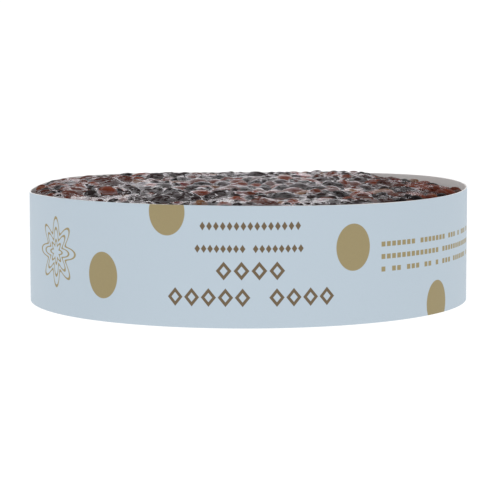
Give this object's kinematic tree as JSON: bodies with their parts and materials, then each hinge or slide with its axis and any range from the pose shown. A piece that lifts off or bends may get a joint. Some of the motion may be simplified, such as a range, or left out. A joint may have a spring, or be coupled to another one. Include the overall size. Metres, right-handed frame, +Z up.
{
  "type": "rich fruit cake",
  "caption": "Shallow round rich fruit cake, its top crowded with dried fruit under clear film, standing in a pale blue printed card band.",
  "frame": {"origin": "centre of the base, at the level the cake stands on", "axes": "+Z up, -Y towards the front of the printed band"},
  "size_m": [0.16, 0.1605, 0.0431],
  "materials": {
    "wrapped_cake": "dark fruit cake under clear film",
    "card": "pale blue printed card, matt",
    "crumb": "moist dark cake crumb",
    "raisin": "dark wrinkled dried fruit, moist",
    "sultana": "amber brown dried fruit, moist",
    "cherry": "dark red glace cherry, moist",
    "almond": "pale chopped nut",
    "film": "clear thin wrapping film, glossy"
  },
  "bodies": {
    "root": {"cake": "wrapped_cake", "band": "card"}
  },
  "joints": []
}
